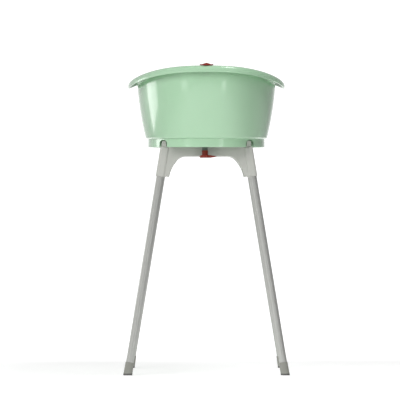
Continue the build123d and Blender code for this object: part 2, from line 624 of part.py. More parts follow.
def drain_nut():
    """Octagonal nut that clamps the drain to the floor."""
    top, low = drain_levels()[:2]
    drawing = RegularPolygon(NUT_ACROSS / 2, 8, major_radius=False) - Circle(DRAIN_BODY_R)
    return Pos(DRAIN_X, DRAIN_Y, low) * extrude(drawing, amount=top - low)


def drain_strainer():
    """Perforated disc in the drain's mouth."""
    low = drain_levels()[2] + 4
    plate = rod_z(DRAIN_MOUTH_R, low, low + STRAINER_T, DRAIN_X, DRAIN_Y)
    for number in range(STRAINER_HOLES):
        angle = 2 * math.pi * number / STRAINER_HOLES
        x, y = DRAIN_X + STRAINER_RING_R * math.cos(angle), DRAIN_Y + STRAINER_RING_R * math.sin(angle)
        plate -= rod_z(STRAINER_HOLE_R, low - 1, low + STRAINER_T + 1, x, y)
    return plate - rod_z(STRAINER_HOLE_R, low - 1, low + STRAINER_T + 1, DRAIN_X, DRAIN_Y)


def drain_tap():
    """Turning tap: sleeve, disc and pointed lever in one piece."""
    top = drain_levels()[3]
    disc_top = top - TAP_SLEEVE_HEIGHT
    disc_low = disc_top - TAP_DISC_T
    tap = rod_z(TAP_SLEEVE_R, disc_top, top, DRAIN_X, DRAIN_Y)
    lever = make_face(Polyline((0, -TAP_DISC_R + 3), (TAP_LEVER_REACH - 4, -5), (TAP_LEVER_REACH, 0),
                               (TAP_LEVER_REACH - 4, 5), (0, TAP_DISC_R - 3), close=True))
    plate = extrude(Circle(TAP_DISC_R) + lever, amount=TAP_DISC_T)
    side = make_face(Polyline((-TAP_DISC_R, 1.5), (-TAP_DISC_R, 6), (-TAP_SLEEVE_R, TAP_DISC_T),
                              (TAP_SLEEVE_R + 4, TAP_DISC_T), (TAP_LEVER_REACH, 5), (TAP_LEVER_REACH, 3.5),
                              (TAP_DISC_R, 0), (-TAP_DISC_R + 2, 0), close=True))
    plate &= slab(side, -2 * TAP_DISC_R, 2 * TAP_DISC_R)
    tap += Pos(DRAIN_X, DRAIN_Y, disc_low) * plate
    tap -= rod_z(STEM_END_R + RUNNING_GAP, disc_top + 1.5, top + 1, DRAIN_X, DRAIN_Y)
    return tap - rod_z(DRAIN_BORE_R - 2, disc_low - 1, top, DRAIN_X, DRAIN_Y)


def stopper():
    """Oval drain stopper with a low dome and thin upturned ends, parked in the rim."""
    z = rim_height(STOPPER_Y) + GROMMET_LIP
    cap_height = STOPPER_HEIGHT - GROMMET_LIP
    half = STOPPER_HALF_LENGTH
    tip, saddle, shoulder = 0.64 * cap_height, 0.50 * cap_height, 0.82 * cap_height
    low = 0.14 * cap_height
    side = Spline((-half, tip), (-half * 0.62, saddle), (-half * 0.3, shoulder), (0, cap_height),
                  (half * 0.3, shoulder), (half * 0.62, saddle), (half, tip))
    side += Polyline((half, tip), (half, low), (half * 0.85, 0), (-half * 0.85, 0), (-half, low), (-half, tip))
    cap = slab(make_face(side), -STOPPER_HALF_WIDTH, STOPPER_HALF_WIDTH)
    cap &= extrude(Ellipse(STOPPER_HALF_LENGTH + 0.2, STOPPER_HALF_WIDTH), amount=2 * STOPPER_HEIGHT)
    stem = rod_z(STOPPER_STEM_R, -STOPPER_STEM_LENGTH, 1)
    stem = chamfer(stem.edges().sort_by(Axis.Z)[0], 1.5)
    return Pos(0, STOPPER_Y, z) * (cap + stem)


def rim_height(y):
    """Height of the rim's wave at a place along the tub."""
    return RIM_SIDE_Z + RIM_RISE * (y / RIM_HALF_LENGTH) ** 2


def rim_grommet():
    """Rubber grommet in the rim's hole, which grips the stopper's stem."""
    top = rim_height(STOPPER_Y)
    hole_r = STOPPER_STEM_R + RUNNING_GAP
    sleeve = rod_z(STOPPER_STEM_R + GROMMET_WALL, top - 3 * TUB_WALL, top + GROMMET_LIP, 0, STOPPER_Y)
    lip = rod_z(STOPPER_STEM_R + 2 * GROMMET_WALL, top - GROMMET_LIP, top + GROMMET_LIP, 0, STOPPER_Y)
    return sleeve + lip - rod_z(hole_r, top - 5 * TUB_WALL, top + 5, 0, STOPPER_Y)


# ------------------------------------------------------------------ the whole object
def build():
    """Every piece by its name."""
    pieces = {
        "tub_shell": tub_shell(),
        "drain_body": drain_body(),
        "drain_gasket": drain_gasket(),
        "drain_nut": drain_nut(),
        "drain_strainer": drain_strainer(),
        "drain_tap": drain_tap(),
        "tap_seal": tap_seal(),
        "rim_grommet": rim_grommet(),
        "stopper": stopper(),
        "left_rail": rail(-1),
        "right_rail": rail(1),
        "rail_end_plugs": rail_end_plugs(),
        "hinge_bolts": hinge_bolts(),
        "hinge_nuts": hinge_nuts(),
        "tub_pads": tub_pads(),
    }
    for name, end, place in (("front", -1, front_frame), ("rear", 1, rear_frame)):
        pieces[name + "_crossbar"] = crossbar(end)
        pieces[name + "_hinge_plates"] = hinge_plates(end)
        pieces[name + "_hinge_shaft"] = hinge_shaft(end)
        pieces[name + "_bracket"] = place(bracket())
        pieces[name + "_hinge_bushes"] = [place(bush) for bush in hinge_bushes()]
        pieces[name + "_hinge_caps"] = [place(cap) for cap in hinge_caps()]
        pieces[name + "_socket_screws"] = [place(screw) for screw in socket_screws()]
        for side_name, side in (("left", -1), ("right", 1)):
            pieces[name + "_" + side_name + "_tube"] = place(leg_tube(side))
            level = foot(side)
            pieces[name + "_" + side_name + "_foot"] = level if end < 0 else mirror(level, about=Plane.XZ)
        flat = soles()
        pieces[name + "_soles"] = flat if end < 0 else [mirror(sole, about=Plane.XZ) for sole in flat]
    return pieces


def main():
    """Write one STEP file per piece."""
    os.makedirs("parts", exist_ok=True)
    for name, shape in build().items():
        solid = Compound(children=list(shape)) if isinstance(shape, list) else shape
        export_step(solid, "parts/" + name + ".step")


main()
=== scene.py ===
"""Looks of a baby bath tub on a folding stand.

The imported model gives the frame: the stand, the drain and everything that moves.  This script
models the tub's moulding anew, rounds the edges of the brackets, feet, soles, tap and stopper,
gives every piece its finish, and sets up a plain studio.  Lengths are in metres.
"""
import logging
import math
from abc import ABC, abstractmethod
from contextlib import contextmanager
from dataclasses import dataclass
from enum import Enum
from functools import cache
from typing import Any, Iterator, Sequence

import bpy
from mathutils import Euler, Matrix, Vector


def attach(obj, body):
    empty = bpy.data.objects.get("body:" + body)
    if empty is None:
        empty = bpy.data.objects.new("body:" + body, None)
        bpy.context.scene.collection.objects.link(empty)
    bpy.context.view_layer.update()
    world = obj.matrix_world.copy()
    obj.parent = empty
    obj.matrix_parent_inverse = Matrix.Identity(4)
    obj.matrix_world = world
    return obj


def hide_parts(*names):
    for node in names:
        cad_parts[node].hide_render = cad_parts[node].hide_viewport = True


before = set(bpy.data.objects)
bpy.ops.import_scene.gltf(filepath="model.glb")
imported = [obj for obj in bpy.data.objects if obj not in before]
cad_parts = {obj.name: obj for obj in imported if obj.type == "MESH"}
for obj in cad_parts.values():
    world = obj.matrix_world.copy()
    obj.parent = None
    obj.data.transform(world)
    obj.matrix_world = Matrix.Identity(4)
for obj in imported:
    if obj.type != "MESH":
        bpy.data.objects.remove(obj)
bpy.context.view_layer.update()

log = logging.getLogger("bath_tub")

Colour = tuple[float, float, float, float]
Pair = tuple[float, float]
Triple = tuple[float, float, float]

BLACK: Colour = (0.0, 0.0, 0.0, 1.0)
WHITE: Colour = (1.0, 1.0, 1.0, 1.0)
DISPLAY_MAX = 255
MERGE_DISTANCE = 0.000002
FLAT_ANGLE = math.radians(0.6)
CUTTER_SIDES = 96
BRACKET_EDGE = 0.0014
FOOT_EDGE = 0.0012
SOLE_EDGE = 0.0010
TAP_EDGE = 0.0007
STOPPER_EDGE = 0.0005


class Place(Enum):
    """Part of the object whose name appears in the names of nodes."""

    @property
    def label(self) -> str:
        """The name as the nodes spell it."""
        return self.name.lower()


class Side(Place):
    """Left or right of the middle plane, seen from the front."""

    LEFT = -1
    RIGHT = 1


class End(Place):
    """Front or rear end of the stand."""

    FRONT = -1
    REAR = 1


# ------------------------ colours
def srgb(red: int, green: int, blue: int) -> Colour:
    """Linear colour from display values.

    Args:
        red: Display red, 0 to 255.
        green: Display green, 0 to 255.
        blue: Display blue, 0 to 255.

    Returns:
        Linear red, green, blue and an alpha of 1.
    """
    def linear(value: int) -> float:
        share = value / DISPLAY_MAX
        return share / 12.92 if share <= 0.04045 else ((share + 0.055) / 1.055) ** 2.4

    return linear(red), linear(green), linear(blue), 1.0


def grey(level: float) -> Colour:
    """Linear neutral colour of one level from 0 to 1."""
    return level, level, level, 1.0


def scaled(colour: Colour, factor: float, lift: float = 0.0) -> Colour:
    """Lighter or darker version of a colour.

    Args:
        colour: The colour to start from.
        factor: What its channels are multiplied by.
        lift: What is added to them afterwards.

    Returns:
        The new colour, with no channel above 1.
    """
    red, green, blue = (min(1.0, channel * factor + lift) for channel in colour[:3])
    return red, green, blue, 1.0


# ------------------------ shader building
class Field:
    """A number that varies over a surface: one socket that Python's operators work on."""

    def __init__(self, graph: "Graph", socket: bpy.types.NodeSocket) -> None:
        """Wrap an output of a node tree.

        Args:
            graph: The tree that the socket is in.
            socket: The output that carries the number.
        """
        self.graph = graph
        self.socket = socket

    def _math(self, operation: str, first: Any, second: Any, clamp: bool = False) -> "Field":
        """Add one Math node and return its result."""
        settings = {"operation": operation, "use_clamp": clamp}
        node = self.graph.node("ShaderNodeMath", settings, {0: first, 1: second})
        return Field(self.graph, node.outputs[0])

    def __add__(self, other: Any) -> "Field":
        """Sum."""
        return self._math("ADD", self, other)

    def __sub__(self, other: Any) -> "Field":
        """Difference."""
        return self._math("SUBTRACT", self, other)

    def __rsub__(self, other: Any) -> "Field":
        """Difference from a number."""
        return self._math("SUBTRACT", other, self)

    def __mul__(self, other: Any) -> "Field":
        """Product."""
        return self._math("MULTIPLY", self, other)

    def __pow__(self, other: Any) -> "Field":
        """Power."""
        return self._math("POWER", self, other)

    def __abs__(self) -> "Field":
        """Value without its sign."""
        return self._math("ABSOLUTE", self, 0.0)

    def clamped(self) -> "Field":
        """The same value kept between 0 and 1."""
        return self._math("ADD", self, 0.0, clamp=True)


class Graph:
    """A node tree that is being filled."""

    def __init__(self, tree: bpy.types.NodeTree) -> None:
        """Start from an empty tree."""
        self.tree = tree
        self.tree.nodes.clear()

    def connect(self, socket: bpy.types.NodeSocket, value: Any) -> None:
        """Feed an input.

        Args:
            socket: The input.
            value: A field, another node's output or a constant.
        """
        if isinstance(value, Field):
            value = value.socket
        if isinstance(value, bpy.types.NodeSocket):
            self.tree.links.new(value, socket)
        else:
            socket.default_value = value

    def node(self, kind: str, settings: dict[str, Any] | None = None,
             inputs: dict[Any, Any] | None = None) -> bpy.types.Node:
        """Add a node.

        Args:
            kind: The node's type name.
            settings: Its properties.
            inputs: Constants, sockets or fields for its inputs, by name or number.

        Returns:
            The new node.
        """
        node = self.tree.nodes.new(kind)
        for name, value in (settings or {}).items():
            setattr(node, name, value)
        for name, value in (inputs or {}).items():
            self.connect(node.inputs[name], value)
        return node

    def split(self, vector: bpy.types.NodeSocket) -> tuple[Field, ...]:
        """The X, Y and Z parts of a vector."""
        parts = self.node("ShaderNodeSeparateXYZ", inputs={0: vector})
        return tuple(Field(self, socket) for socket in parts.outputs)


class Sky(Graph):
    """The studio's surround."""

    def direction(self) -> tuple[Field, ...]:
        """The three parts of the direction that is looked along."""
        return self.split(self.node("ShaderNodeTexCoord").outputs["Generated"])

    def background(self, light: Field) -> None:
        """End the tree in a white background of that strength."""
        inputs = {"Color": WHITE, "Strength": light}
        shader = self.node("ShaderNodeBackground", inputs=inputs)
        self.node("ShaderNodeOutputWorld", inputs={"Surface": shader.outputs[0]})


@dataclass(frozen=True)
class Pattern:
    """Noise, by its features per metre and its levels of finer detail."""

    scale: float
    detail: float


class Paint(Graph):
    """One material being built from nodes."""

    MIX_SHARE, MIX_FIRST, MIX_SECOND, MIX_RESULT = 0, 6, 7, 2

    def __init__(self, name: str) -> None:
        """Start a material with a Principled shader and its output."""
        self.material = bpy.data.materials.new(name)
        self.material.use_nodes = True
        super().__init__(self.material.node_tree)
        self.shader = self.node("ShaderNodeBsdfPrincipled")
        self.node("ShaderNodeOutputMaterial", inputs={"Surface": self.shader.outputs[0]})

    def place(self, turn: Sequence[float] = (0, 0, 0),
              stretch: Sequence[float] = (1, 1, 1)) -> bpy.types.NodeSocket:
        """Object coordinates.

        Args:
            turn: Rotation about X, Y and Z in radians.
            stretch: Scale along each axis.

        Returns:
            The turned and stretched coordinates.
        """
        source = self.node("ShaderNodeTexCoord").outputs["Object"]
        inputs = {"Vector": source, "Rotation": turn, "Scale": stretch}
        return self.node("ShaderNodeMapping", inputs=inputs).outputs[0]

    def noise(self, pattern: Pattern, vector: bpy.types.NodeSocket | None = None) -> Field:
        """Noise over the surface.

        Args:
            pattern: How coarse and how detailed it is.
            vector: Where it is read; plain object coordinates if left out.

        Returns:
            Values from 0 to 1.
        """
        inputs = {"Vector": vector or self.place(), "Scale": pattern.scale,
                  "Detail": pattern.detail}
        return Field(self, self.node("ShaderNodeTexNoise", inputs=inputs).outputs["Fac"])

    def blend(self, share: Any, first: Any, second: Any) -> bpy.types.NodeSocket:
        """Mix two colours.

        Args:
            share: How much of the second colour there is, 0 to 1.
            first: The colour at 0.
            second: The colour at 1.

        Returns:
            The mixed colour.
        """
        inputs = {self.MIX_SHARE: share, self.MIX_FIRST: first, self.MIX_SECOND: second}
        node = self.node("ShaderNodeMix", {"data_type": "RGBA"}, inputs)
        return node.outputs[self.MIX_RESULT]

    def bump(self, height: Field, depth: float = 1.0, strength: float = 1.0) -> None:
        """Drive the shader's normal from a height field.

        Args:
            height: The heights.
            depth: Metres that a height of 1 stands for.
            strength: How much of the effect is used, 0 to 1.
        """
        inputs = {"Strength": strength, "Distance": depth, "Height": height}
        self.set(Normal=self.node("ShaderNodeBump", inputs=inputs).outputs[0])

    def set(self, **inputs: Any) -> None:
        """Feed inputs of the Principled shader; underscores stand for spaces."""
        for name, value in inputs.items():
            self.connect(self.shader.inputs[name.replace("_", " ")], value)


# ------------------------ finishes
@dataclass(frozen=True)
class Finish(ABC):
    """What a piece looks to be made of; its name is the material's."""

    name: str

    @abstractmethod
    def make(self) -> bpy.types.Material:
        """Build the material."""


@dataclass(frozen=True)
class MouldedPlastic(Finish):
    """Injection-moulded plastic: even colour with faint flow shades, glossy or grained skin.

    Attributes:
        colour: Its lightest shade.
        roughness: Mean roughness of the skin.
        shade_depth: How much darker the darkest shade is.
        grain: Height of the fine grain.
        coat: Weight of the gloss on top.
        subsurface: Weight of the light that wanders under the skin.
        flow: Broad shades of the flow in the mould.
        mottle: Fine shades between them.
        flow_share: How much of the shading the flow makes up.
        scuffs: Where the skin is duller.
        scuff_power: How rare those places are.
        scuff_roughness: Roughness they add at most.
        scuff_mean: Roughness they add on average.
        ripples: Long waves of the skin.
        ripple_height: Height of those waves.
        grains: The fine grain.
        ior: Refractive index.
        coat_roughness: Roughness of the gloss.
        subsurface_tint: How far each colour wanders, relative to the reach.
        subsurface_reach: How far light wanders.
    """

    colour: Colour
    roughness: float = 0.35
    shade_depth: float = 0.088
    grain: float = 0.0
    coat: float = 0.0
    subsurface: float = 0.0
    flow: Pattern = Pattern(7.0, 2.0)
    mottle: Pattern = Pattern(160.0, 4.0)
    flow_share: float = 0.7
    scuffs: Pattern = Pattern(38.0, 6.0)
    scuff_power: float = 3.0
    scuff_roughness: float = 0.10
    scuff_mean: float = 0.015
    ripples: Pattern = Pattern(24.0, 1.0)
    ripple_height: float = 0.00002
    grains: Pattern = Pattern(1800.0, 2.0)
    ior: float = 1.49
    coat_roughness: float = 0.06
    subsurface_tint: Triple = (0.6, 1.0, 0.7)
    subsurface_reach: float = 0.004

    def make(self) -> bpy.types.Material:
        """Build the material."""
        paint = Paint(self.name)
        flow = paint.noise(self.flow) * self.flow_share
        mottle = paint.noise(self.mottle) * (1 - self.flow_share)
        darker = scaled(self.colour, 1 - self.shade_depth)
        paint.set(Base_Color=paint.blend((flow + mottle).clamped(), self.colour, darker))
        scuffs = paint.noise(self.scuffs) ** self.scuff_power * self.scuff_roughness
        paint.set(Roughness=(scuffs + (self.roughness - self.scuff_mean)).clamped())
        paint.set(IOR=self.ior, Coat_Weight=self.coat, Coat_Roughness=self.coat_roughness)
        if self.subsurface:
            paint.set(Subsurface_Weight=self.subsurface, Subsurface_Radius=self.subsurface_tint,
                      Subsurface_Scale=self.subsurface_reach)
        height = paint.noise(self.ripples) * self.ripple_height
        if self.grain:
            height = height + paint.noise(self.grains) * self.grain
        paint.bump(height)
        return paint.material


@dataclass(frozen=True)
class AnodisedTube(Finish):
    """Satin aluminium tube: drawn streaks along its axis and a few dull handling marks.

    Attributes:
        turn: Rotation that lays the tube's axis along Z.
        colour: Its lightest shade.
        darkest: The darkest shade as a share of the lightest.
        streaks: The drawn streaks, across the tube.
        stretch: How the streaks are drawn out along Z.
        streak_shade: Share of the shading that the streaks make.
        streak_roughness: Roughness that they add at most.
        streak_height: Their depth.
        streak_bump: How much of that depth shows.
        marks: The handling marks.
        mark_power: How rare the marks are.
        mark_shade: Share of the shading that the marks make.
        mark_roughness: Roughness that they add at most.
        roughness: Roughness of the smoothest places.
        metallic: Share of bare metal in the reflection.
        ior: Refractive index of the anodised skin.
    """

    turn: Triple
    colour: Colour = srgb(190, 191, 187)
    darkest: float = 0.86
    streaks: Pattern = Pattern(900.0, 3.0)
    stretch: Triple = (1.0, 1.0, 0.012)
    streak_shade: float = 0.8
    streak_roughness: float = 0.14
    streak_height: float = 0.00003
    streak_bump: float = 0.6
    marks: Pattern = Pattern(16.0, 5.0)
    mark_power: float = 2.0
    mark_shade: float = 0.4
    mark_roughness: float = 0.16
    roughness: float = 0.26
    metallic: float = 0.5
    ior: float = 1.6

    def make(self) -> bpy.types.Material:
        """Build the material."""
        paint = Paint(self.name)
        streaks = paint.noise(self.streaks, paint.place(self.turn, self.stretch))
        marks = paint.noise(self.marks) ** self.mark_power
        shades = (streaks * self.streak_shade + marks * self.mark_shade).clamped()
        darker = scaled(self.colour, self.darkest)
        paint.set(Base_Color=paint.blend(shades, self.colour, darker))
        roughness = streaks * self.streak_roughness + marks * self.mark_roughness
        paint.set(Roughness=(roughness + self.roughness).clamped())
        paint.set(Metallic=self.metallic, IOR=self.ior)
        paint.bump(streaks, self.streak_height, self.streak_bump)
        return paint.material


@dataclass(frozen=True)
class ZincSteel(Finish):
    """Bright zinc-plated steel with a faint mottled bloom.

    Attributes:
        colour: Its brightest shade.
        dullest: The dullest shade as a share of the brightest.
        bloom: The mottling.
        bloom_roughness: Roughness that the bloom adds at most.
        roughness: Roughness of the brightest places.
        skin: The fine unevenness of the plating.
        skin_height: Its height.
    """

    colour: Colour = srgb(186, 188, 192)
    dullest: float = 0.72
    bloom: Pattern = Pattern(220.0, 5.0)
    bloom_roughness: float = 0.22
    roughness: float = 0.20
    skin: Pattern = Pattern(1500.0, 2.0)
    skin_height: float = 0.00002

    def make(self) -> bpy.types.Material:
        """Build the material."""
        paint = Paint(self.name)
        bloom = paint.noise(self.bloom)
        duller = scaled(self.colour, self.dullest)
        paint.set(Base_Color=paint.blend(bloom, self.colour, duller), Metallic=1.0)
        paint.set(Roughness=(bloom * self.bloom_roughness + self.roughness).clamped())
        paint.bump(paint.noise(self.skin), self.skin_height)
        return paint.material


@dataclass(frozen=True)
class PowderCoat(Finish):
    """Powder-coated steel: fine orange-peel skin.

    Attributes:
        colour: Its lightest shade.
        darkest: The darkest shade as a share of the lightest.
        peel: The orange peel.
        peel_height: Its height.
        dulling: Where the coat is duller.
        dulling_roughness: Roughness that this adds at most.
        roughness: Roughness of the glossiest places.
    """

    colour: Colour
    darkest: float = 0.9
    peel: Pattern = Pattern(700.0, 2.0)
    peel_height: float = 0.00008
    dulling: Pattern = Pattern(60.0, 4.0)
    dulling_roughness: float = 0.15
    roughness: float = 0.36

    def make(self) -> bpy.types.Material:
        """Build the material."""
        paint = Paint(self.name)
        peel = paint.noise(self.peel)
        darker = scaled(self.colour, self.darkest)
        paint.set(Base_Color=paint.blend(peel, self.colour, darker))
        dulling = paint.noise(self.dulling) * self.dulling_roughness
        paint.set(Roughness=(dulling + self.roughness).clamped())
        paint.bump(peel, self.peel_height)
        return paint.material


@dataclass(frozen=True)
class Rubber(Finish):
    """Matt rubber with a dusty, slightly mottled surface.

    Attributes:
        colour: Its clean colour.
        dusty: Factor from the clean colour to the dusty one.
        dusty_lift: What is added after that factor.
        dust: Where the dust lies.
        dust_power: How rare it is.
        dust_shade: How strongly it shows.
        dust_roughness: Roughness that it adds at most.
        roughness: Roughness of the clean rubber.
        skin: The fine unevenness.
        skin_height: Its height.
    """

    colour: Colour
    dusty: float = 1.8
    dusty_lift: float = 0.02
    dust: Pattern = Pattern(90.0, 6.0)
    dust_power: float = 2.0
    dust_shade: float = 1.2
    dust_roughness: float = 0.2
    roughness: float = 0.62
    skin: Pattern = Pattern(1200.0, 3.0)
    skin_height: float = 0.00006

    def make(self) -> bpy.types.Material:
        """Build the material."""
        paint = Paint(self.name)
        dust = paint.noise(self.dust) ** self.dust_power
        dusty = scaled(self.colour, self.dusty, self.dusty_lift)
        share = (dust * self.dust_shade).clamped()
        paint.set(Base_Color=paint.blend(share, self.colour, dusty))
        paint.set(Roughness=(dust * self.dust_roughness + self.roughness).clamped())
        paint.bump(paint.noise(self.skin), self.skin_height)
        return paint.material


@cache
def material_of(finish: Finish) -> bpy.types.Material:
    """The finish's material, built when it is first asked for."""
    return finish.make()


MINT = MouldedPlastic("mint_gloss", srgb(171, 209, 175), roughness=0.17, coat=0.25,
                      subsurface=0.08)
BRACKET_GREY = MouldedPlastic("bracket_grey", srgb(187, 188, 182), roughness=0.42, grain=0.000012)
FOOT_GREY = MouldedPlastic("foot_grey", srgb(143, 144, 137), roughness=0.45, grain=0.00001)
SIGNAL_RED = MouldedPlastic("drain_red", srgb(132, 38, 22), roughness=0.30, shade_depth=0.11)
STEM_GREY = MouldedPlastic("drain_grey", srgb(84, 96, 86), roughness=0.40, grain=0.00001)
NYLON = MouldedPlastic("nylon_grey", srgb(70, 71, 72), roughness=0.5, grain=0.00001)
SOLE = Rubber("sole_rubber", srgb(84, 84, 82))
BLACK_RUBBER = Rubber("black_rubber", srgb(38, 38, 38))
ZINC = ZincSteel("zinc_steel")
FRAME_COAT = PowderCoat("frame_coat", srgb(205, 206, 202))


# ------------------------ studio
def facing(place: Sequence[float], aim: Sequence[float]) -> Euler:
    """The rotation that points a light or a camera from its place at its aim."""
    return (Vector(aim) - Vector(place)).to_track_quat("-Z", "Y").to_euler()


@dataclass(frozen=True)
class Softbox:
    """One rectangular softbox.

    Attributes:
        name: The light's name.
        place: Its middle.
        aim: The point that it faces.
        size: Width and height.
        power: Watts.
        mirrored: Whether glossy surfaces show it.
    """

    name: str
    place: Triple
    aim: Triple
    size: Pair
    power: float
    mirrored: bool = True

    def hang(self) -> None:
        """Put the light in the scene."""
        data = bpy.data.lights.new(self.name, "AREA")
        data.shape = "RECTANGLE"
        data.size, data.size_y = self.size
        data.energy = self.power
        lamp = bpy.data.objects.new(self.name, data)
        bpy.context.scene.collection.objects.link(lamp)
        lamp.visible_glossy = self.mirrored
        lamp.location = self.place
        lamp.rotation_euler = facing(self.place, self.aim)


# Key light at the front left, low boxes for the legs, and two that the tub mirrors as highlights.
SOFTBOXES = (
    Softbox("key", (-1.5, -3.0, 2.3), (0.0, 0.0, 0.8), (1.6, 1.6), 40, mirrored=False),
    Softbox("fill", (1.9, -3.0, 1.7), (0.0, 0.0, 0.8), (1.2, 1.2), 13, mirrored=False),
    Softbox("low_left", (-2.1, -2.9, 0.36), (-0.2, -0.3, 0.40), (0.9, 0.7), 4.5),
    Softbox("low_right", (1.5, -3.1, 0.36), (0.2, -0.3, 0.40), (0.5, 0.7), 3.5),
    Softbox("strip", (-1.86, 1.11, 0.67), (-0.17, -0.30, 0.80), (1.0, 0.55), 4.2),
    Softbox("overhead", (0.75, -0.50, 2.8), (0.08, -0.45, 1.0), (0.5, 0.6), 16),
)


@dataclass
class Studio:
    """Pale floor, surround, softboxes and camera.

    Attributes:
        distance: From the camera to the plane that it aims at.
        lens: Focal length in millimetres.
        sensor: Sensor width in millimetres.
        view_end: How far the camera sees.
        eye_height: The camera's height.
        aim: The point in the middle of the picture.
        floor_size: Edge of the square floor.
        floor_back: Where the floor ends behind the tub.
        floor_tones: Its lightest and darkest shade.
        floor_unevenness: How the two are spread.
        floor_roughness: Its roughness.
        aside_tone: Its painted shade far out to the sides.
        aside_start: Where the painted shade begins to darken it towards the sides.
        aside_reach: Over what width the painted shade darkens it.
        aside_dim: How much of its painted glow the painted shade takes away there.
        near_glow: Its glow in front.
        far_glow: Its glow behind.
        glow_start: Where the glow begins to grow, behind the middle.
        glow_reach: Over what length it grows.
        surround: Strength of the surround, on average.
        side_fall: How much brighter it is at the far left, and dimmer at the far right.
        backdrop: What is added straight behind the tub.
        backdrop_focus: How narrow that bright part is.
    """

    distance: float = 17.97
    lens: float = 500.0
    sensor: float = 36.0
    view_end: float = 100.0
    eye_height: float = 0.685
    aim: Triple = (-0.021, -0.325, 0.567)
    floor_size: float = 14.0
    floor_back: float = 7.0
    floor_tones: Pair = (0.86, 0.83)
    floor_unevenness: Pattern = Pattern(0.8, 2.0)
    floor_roughness: float = 0.7
    aside_tone: float = 0.50
    aside_start: float = 0.85
    aside_reach: float = 1.2
    aside_dim: float = 0.85
    near_glow: float = 0.44
    far_glow: float = 0.95
    glow_start: float = 0.9
    glow_reach: float = 1.0
    surround: float = 0.42
    side_fall: float = 0.31
    backdrop: float = 0.80
    backdrop_focus: float = 60.0

    def build(self) -> None:
        """Make the floor, the world, the lights and the camera."""
        self.floor()
        self.world()
        for softbox in SOFTBOXES:
            softbox.hang()
        self.camera()
        log.info("studio: floor, softboxes and camera")

    def floor(self) -> None:
        """A wide pale floor with a very faint unevenness, lit from within like a light table; the
        glow is painted light, stronger behind the tub, and painted shade darkens colour and glow
        towards the sides.
        """
        lay_down()
        middle = (0, self.floor_back - self.floor_size / 2, 0)
        bpy.ops.mesh.primitive_plane_add(size=self.floor_size, location=middle)
        floor = bpy.context.object
        bpy.ops.object.transform_apply(location=True)
        floor.name = "studio_floor"
        paint = Paint("studio_floor")
        across, along, _ = paint.split(paint.place())
        # Painted shade: the floor's colour and its painted glow darken towards the sides, leaving
        # a pool of painted light around the tub.
        painted_side_shade = ((abs(across) - self.aside_start) * (1 / self.aside_reach)).clamped()
        behind = ((along - self.glow_start) * (1 / self.glow_reach)).clamped()
        glow = behind * (self.far_glow - self.near_glow) + self.near_glow
        glow = (glow * (1.0 - painted_side_shade * self.aside_dim)).clamped()
        light, dark = (grey(tone) for tone in self.floor_tones)
        shade = paint.blend(paint.noise(self.floor_unevenness), light, dark)
        paint.set(Base_Color=paint.blend(painted_side_shade, shade, grey(self.aside_tone)))
        paint.set(Roughness=self.floor_roughness)
        paint.set(Emission_Color=paint.blend(glow, BLACK, WHITE), Emission_Strength=1.0)
        floor.data.materials.append(paint.material)

    def world(self) -> None:
        """A surround that is bright on the left, dim on the right and white behind the tub."""
        world = bpy.data.worlds.new("studio")
        bpy.context.scene.world = world
        world.use_nodes = True
        sky = Sky(world.node_tree)
        across, along, _ = sky.direction()
        behind = along.clamped() ** self.backdrop_focus
        sky.background((self.surround - across * self.side_fall) + behind * self.backdrop)

    def camera(self) -> None:
        """A long lens far in front, a little above the legs' middle."""
        data = bpy.data.cameras.new("camera")
        data.lens = self.lens
        data.sensor_width = self.sensor
        data.clip_end = self.view_end
        camera = bpy.data.objects.new("camera", data)
        bpy.context.scene.collection.objects.link(camera)
        camera.location = (self.aim[0], self.aim[1] - self.distance, self.eye_height)
        camera.rotation_euler = facing(camera.location, self.aim)
        bpy.context.scene.camera = camera
        view = bpy.context.scene.view_settings
        view.view_transform = "Standard"
        view.look = "None"


# ------------------------ the bench
def lay_down() -> None:
    """Leave edit mode and deselect everything, so that the next operator has one piece only."""
    if bpy.context.object is not None and bpy.context.object.mode != "OBJECT":
        bpy.ops.object.mode_set(mode="OBJECT")
    bpy.ops.object.select_all(action="DESELECT")


